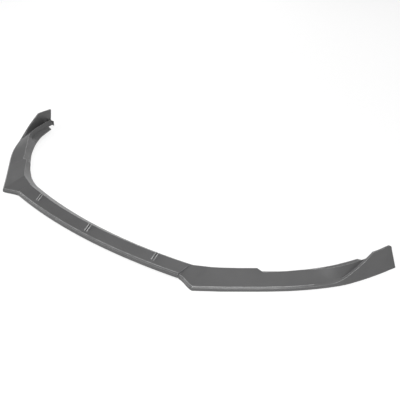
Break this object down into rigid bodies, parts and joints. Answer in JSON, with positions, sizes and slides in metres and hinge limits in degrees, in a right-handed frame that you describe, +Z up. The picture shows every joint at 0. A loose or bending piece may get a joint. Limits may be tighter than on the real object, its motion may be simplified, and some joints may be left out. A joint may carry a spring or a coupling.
{
  "type": "front splitter lip",
  "caption": "Wide moulded splitter lip for a car's front bumper: bowed centre blade, stepped pointed corners, and side blades that sweep back and rise into upright end fins.",
  "frame": {"origin": "below the middle of the part, level with its lowest edge", "axes": "+X across the car towards its left side, -Y towards the front of the car, +Z up"},
  "size_m": [1.8006, 0.571, 0.0872],
  "materials": {
    "moulding": "fine matt moulded grain, unpainted grey"
  },
  "bodies": {
    "root": {"splitter_lip": "moulding"}
  },
  "joints": []
}
